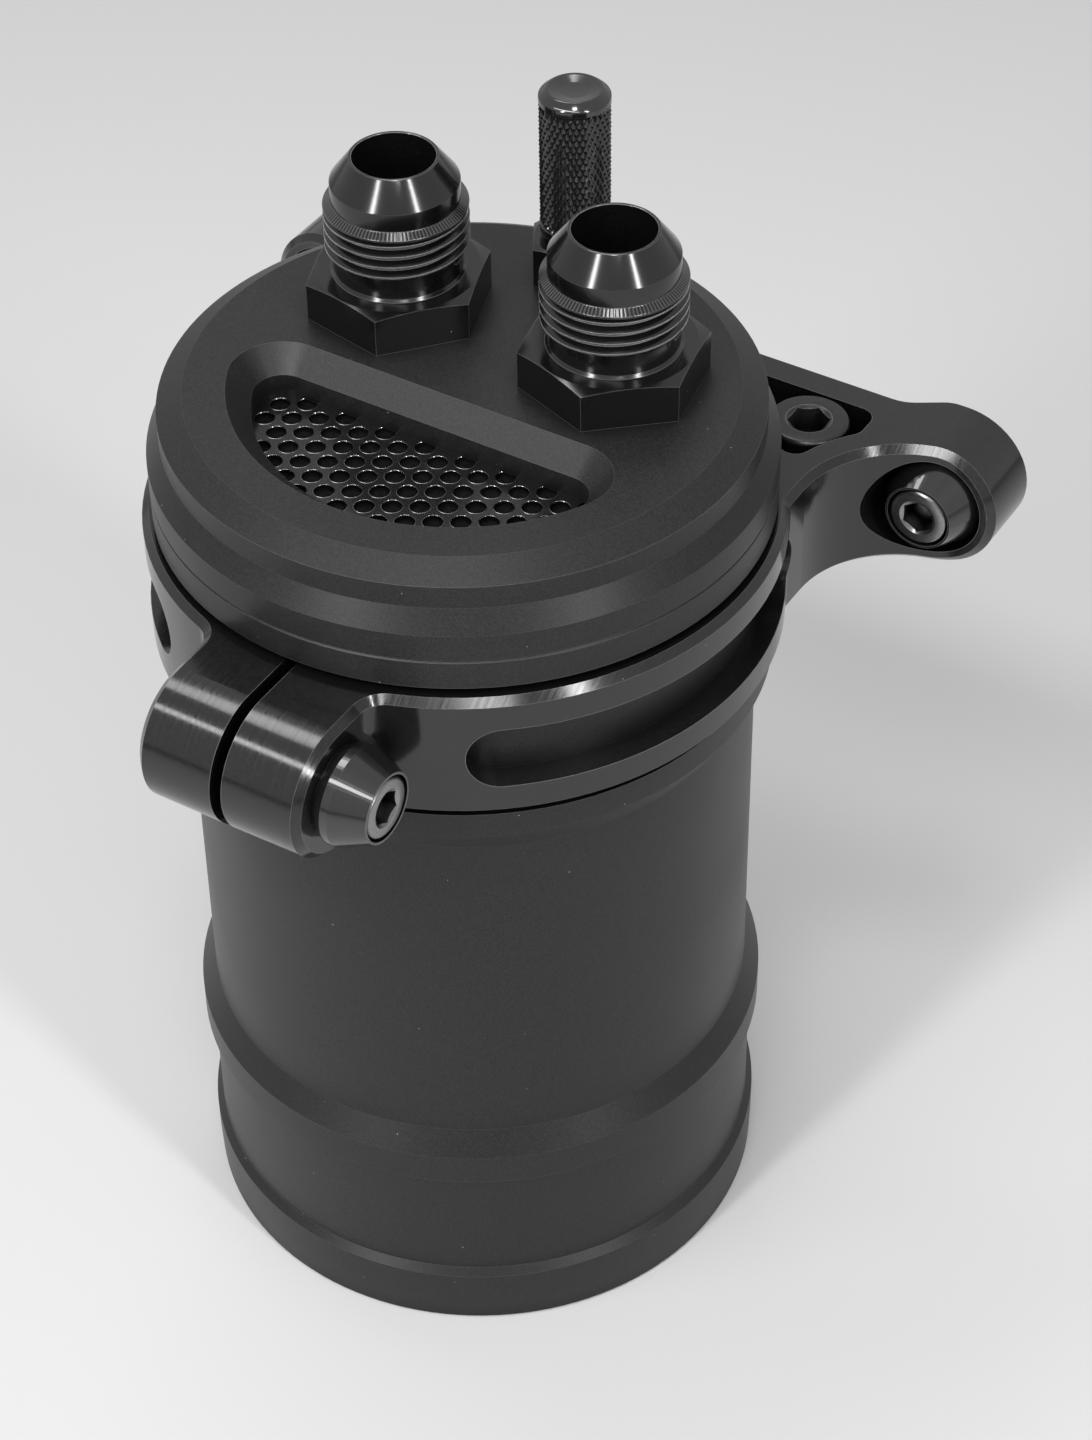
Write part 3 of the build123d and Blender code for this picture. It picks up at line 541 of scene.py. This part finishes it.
def hex_socket(bm, entry_r, across, depth):
    """Hexagon socket whose sides meet a countersunk entry in six scallops."""
    corner_r = across / 3 ** 0.5
    made = bmesh.ops.create_circle(bm, cap_ends=False, radius=corner_r * MM, segments=6)["verts"]
    sides = once(e for v in made for e in v.link_edges)
    bmesh.ops.subdivide_edges(bm, edges=sides, cuts=7)
    rim = [v for v in bm.verts if not v.link_faces and v.link_edges]
    for v in rim:
        v.co.z = -(entry_r * MM - v.co.xy.length) * tan(radians(30))
    lines = once(e for v in rim for e in v.link_edges)
    outer = bmesh.ops.create_circle(bm, cap_ends=False, radius=entry_r * MM, segments=48)["verts"]
    outer_lines = once(e for v in outer for e in v.link_edges)
    bmesh.ops.bridge_loops(bm, edges=lines + outer_lines)
    made = bmesh.ops.extrude_edge_only(bm, edges=lines)["geom"]
    floor = [g for g in made if isinstance(g, bmesh.types.BMVert)]
    for v in floor:
        v.co.z = -depth * MM
    edges = [g for g in made if isinstance(g, bmesh.types.BMEdge)]
    floor_lines = [e for e in edges if abs(e.verts[0].co.z - e.verts[1].co.z) < 1e-9]
    bmesh.ops.contextual_create(bm, geom=floor_lines)


def cap_screws(name, body, material, slot, node, places, size, length, grip):
    """Cap screws with a hexagon socket, rounded head edge and a rolled thread below the grip."""
    r, head_r, across, pitch = size
    head_z = -2 * r
    root = r - 0.6 * pitch
    tip = head_z - length
    entry_r = across / 3 ** 0.5 + 0.22
    whole = bmesh.new()
    for place in places:
        outside = bmesh.new()
        lathe(outside, [
            (entry_r, 0.0), (head_r - 0.45, 0.0), (head_r, -0.5), (head_r, head_z),
            (r - 0.3, head_z), (r - 0.3, head_z - grip), (root, head_z - grip - 0.2),
            (root, tip + 0.5), (root - 0.5, tip), (0.0, tip),
        ], rounding=0.22, segments=64)
        hex_socket(outside, entry_r, across, 1.06 * r)
        ridge = bmesh.new()
        turns = (length - grip - 0.9) / pitch - 1
        thread_ridge(ridge, root - 0.02, r, pitch, tip + 0.4, turns, per_turn=32)
        screw = join(outwards(outside), outwards(ridge))
        bmesh.ops.transform(screw, matrix=place, verts=screw.verts)
        join(whole, screw)
    keep(whole, name, body, material, slot, node, sharp=35.0)


def standing(x, y, z, axis):
    """A screw's place: its head's top at a point in mm, its head pointing along an axis."""
    turn = Vector(axis).to_track_quat("Z", "Y").to_matrix().to_4x4()
    return Matrix.Translation((x * MM, y * MM, z * MM)) @ turn


def hole_rims():
    """Rolled rim round each hole of the vent's perforated plate, which is a D with its flat side behind."""
    plate_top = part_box("vent_mesh")[1][2]
    pitch, r = 4.1, 1.55
    first_x, first_y = -1.1, -8.95
    round_edge, flat_edge = 31.8, -8.0
    column = pitch * cos(radians(30))
    lip = [(r - 0.02, -0.6), (r - 0.05, -0.12), (r + 0.03, 0.04), (r + 0.16, -0.02)]
    whole = bmesh.new()
    for i in range(-10, 11):
        for j in range(-9, 2):
            x = first_x + i * column
            y = first_y + (j + 0.5 * (i % 2)) * pitch
            if (x ** 2 + y ** 2) ** 0.5 + 0.2 * r < round_edge and y < flat_edge:
                rim = bmesh.new()
                lathe(rim, lip, rounding=0.04, segments=24)
                outwards(rim)
                bmesh.ops.translate(rim, verts=rim.verts, vec=(x * MM, y * MM, plate_top))
                join(whole, rim)
    keep(whole, "hole_rims", "lid", rim_highlight_steel, "mesh_steel")


flare_fitting("inlet_flare", "inlet_fitting", -1)
flare_fitting("outlet_flare", "outlet_fitting", 1)
knurled_grip()
cap_screws(
    "pinch_cap_screw", "clamp_screw", screw_steel, "screw_steel", "pinch_screw",
    [standing(pinch_x, pinch_y, clamp_mid, (1, 0, 0))], m6, length=30.0, grip=1.0,
)
cap_screws(
    "mount_cap_screws", "bracket", screw_steel, "screw_steel", "mount_screws",
    [standing(side * mount_x, mount_y, clamp_mid, (0, -1, 0)) for side in (-1, 1)],
    m6, length=18.0, grip=11.4,
)
cap_screws(
    "arm_cap_screws", "bracket", arm_screw_black, "screw_steel", "arm_screws",
    [standing(side * arm_screw_x, arm_screw_y, arm_screw_top, (0, 0, 1)) for side in (-1, 1)],
    m8, length=12.0, grip=1.0,
)
threaded_copy("lid_body", "lid", "lid", [(43.15, 42.3, 135.1, 144.3)])
threaded_copy("tube_body", "canister", "can", [(43.2, 44.05, 134.0, 144.2), (44.2, 43.35, 22.7, 30.9)])
threaded_copy("cup_body", "reservoir_cup", "cup", [(44.25, 45.1, 21.6, 30.9)])
hole_rims()

# Floor, light and camera


def studio_floor(level):
    """Pale floor that reaches past the camera's view."""
    bpy.ops.mesh.primitive_plane_add(size=6.0, location=(0, 0, 0))
    floor = bpy.context.object
    floor.name = "floor"
    material = bpy.data.materials.new("floor_pale")
    material.use_nodes = True
    shader = material.node_tree.nodes["Principled BSDF"]
    shader.inputs["Base Color"].default_value = (level, level, level, 1)
    shader.inputs["Roughness"].default_value = 0.9
    floor.data.materials.append(material)


def soft_lamp(name, place, aim, width, height, power):
    """Rectangular soft box with a grid, aimed at a point."""
    grid_angle = radians(110)
    data = bpy.data.lights.new(name, "AREA")
    data.shape = "RECTANGLE"
    data.size = width
    data.size_y = height
    data.energy = power
    data.spread = grid_angle
    lamp = bpy.data.objects.new(name, data)
    lamp.location = place
    lamp.rotation_euler = (Vector(aim) - Vector(place)).to_track_quat("-Z", "Y").to_euler()
    bpy.context.scene.collection.objects.link(lamp)


def surround(light, seen):
    """World that lights softly, and is a plain pale backdrop to the camera and in reflections."""
    world = bpy.data.worlds.new("surround")
    bpy.context.scene.world = world
    world.use_nodes = True
    tree = world.node_tree
    background = tree.nodes["Background"]
    path = tree.nodes.new("ShaderNodeLightPath")
    total = path.outputs["Is Camera Ray"]
    for kind in ("Is Glossy Ray", "Is Transmission Ray"):
        either = tree.nodes.new("ShaderNodeMath")
        either.operation = "MAXIMUM"
        tree.links.new(total, either.inputs[0])
        tree.links.new(path.outputs[kind], either.inputs[1])
        total = either.outputs[0]
    strength = tree.nodes.new("ShaderNodeMapRange")
    strength.inputs["To Min"].default_value = light
    strength.inputs["To Max"].default_value = seen
    tree.links.new(total, strength.inputs["Value"])
    tree.links.new(strength.outputs["Result"], background.inputs["Strength"])
    background.inputs["Color"].default_value = (1, 1, 1, 1)


def photo_camera():
    """Camera at the photograph's place and angle, as solved from the can's circles."""
    place = (0.2336, -0.3515, 0.46906)
    forward = Vector((-0.3960, 0.6336, -0.6647)).normalized()
    level = Vector((0.8480, 0.5300, 0.0)).normalized()
    upward = level.cross(forward)
    roll = radians(-0.813)
    right = level * cos(roll) + upward * sin(roll)
    upward = right.cross(forward)
    turn = Matrix((right, upward, -forward)).transposed()
    data = bpy.data.cameras.new("camera")
    data.sensor_fit = "VERTICAL"
    data.sensor_height = 36.0
    data.lens = 86.93
    data.clip_start = 0.01
    camera = bpy.data.objects.new("camera", data)
    camera.matrix_world = Matrix.Translation(place) @ turn.to_4x4()
    bpy.context.scene.collection.objects.link(camera)
    bpy.context.scene.camera = camera


pale = 0.62
studio_floor(pale)
surround(light=0.34, seen=pale)

# Each lamp: its place and aim in metres, its width and height, its power in watts
soft_lamp("left_strip", (-0.146, -1.04, 0.76), (0, 0, 0.17), 0.12, 0.8, 2.7)
soft_lamp("right_strip", (0.998, -0.324, 0.76), (0, 0, 0.17), 0.10, 0.8, 2.4)
soft_lamp("front_strip", (0.0, -0.65, 1.06), (0, -0.05, 0.13), 1.4, 0.14, 3.1)
soft_lamp("crown_panel", (0.18, -0.27, 1.17), (0, 0.01, 0.18), 0.15, 0.15, 0.45)
soft_lamp("top_panel", (-0.4, 0.25, 1.1), (0, 0, 0.13), 0.7, 0.2, 1.0)

photo_camera()
bpy.context.scene.view_settings.view_transform = "Standard"
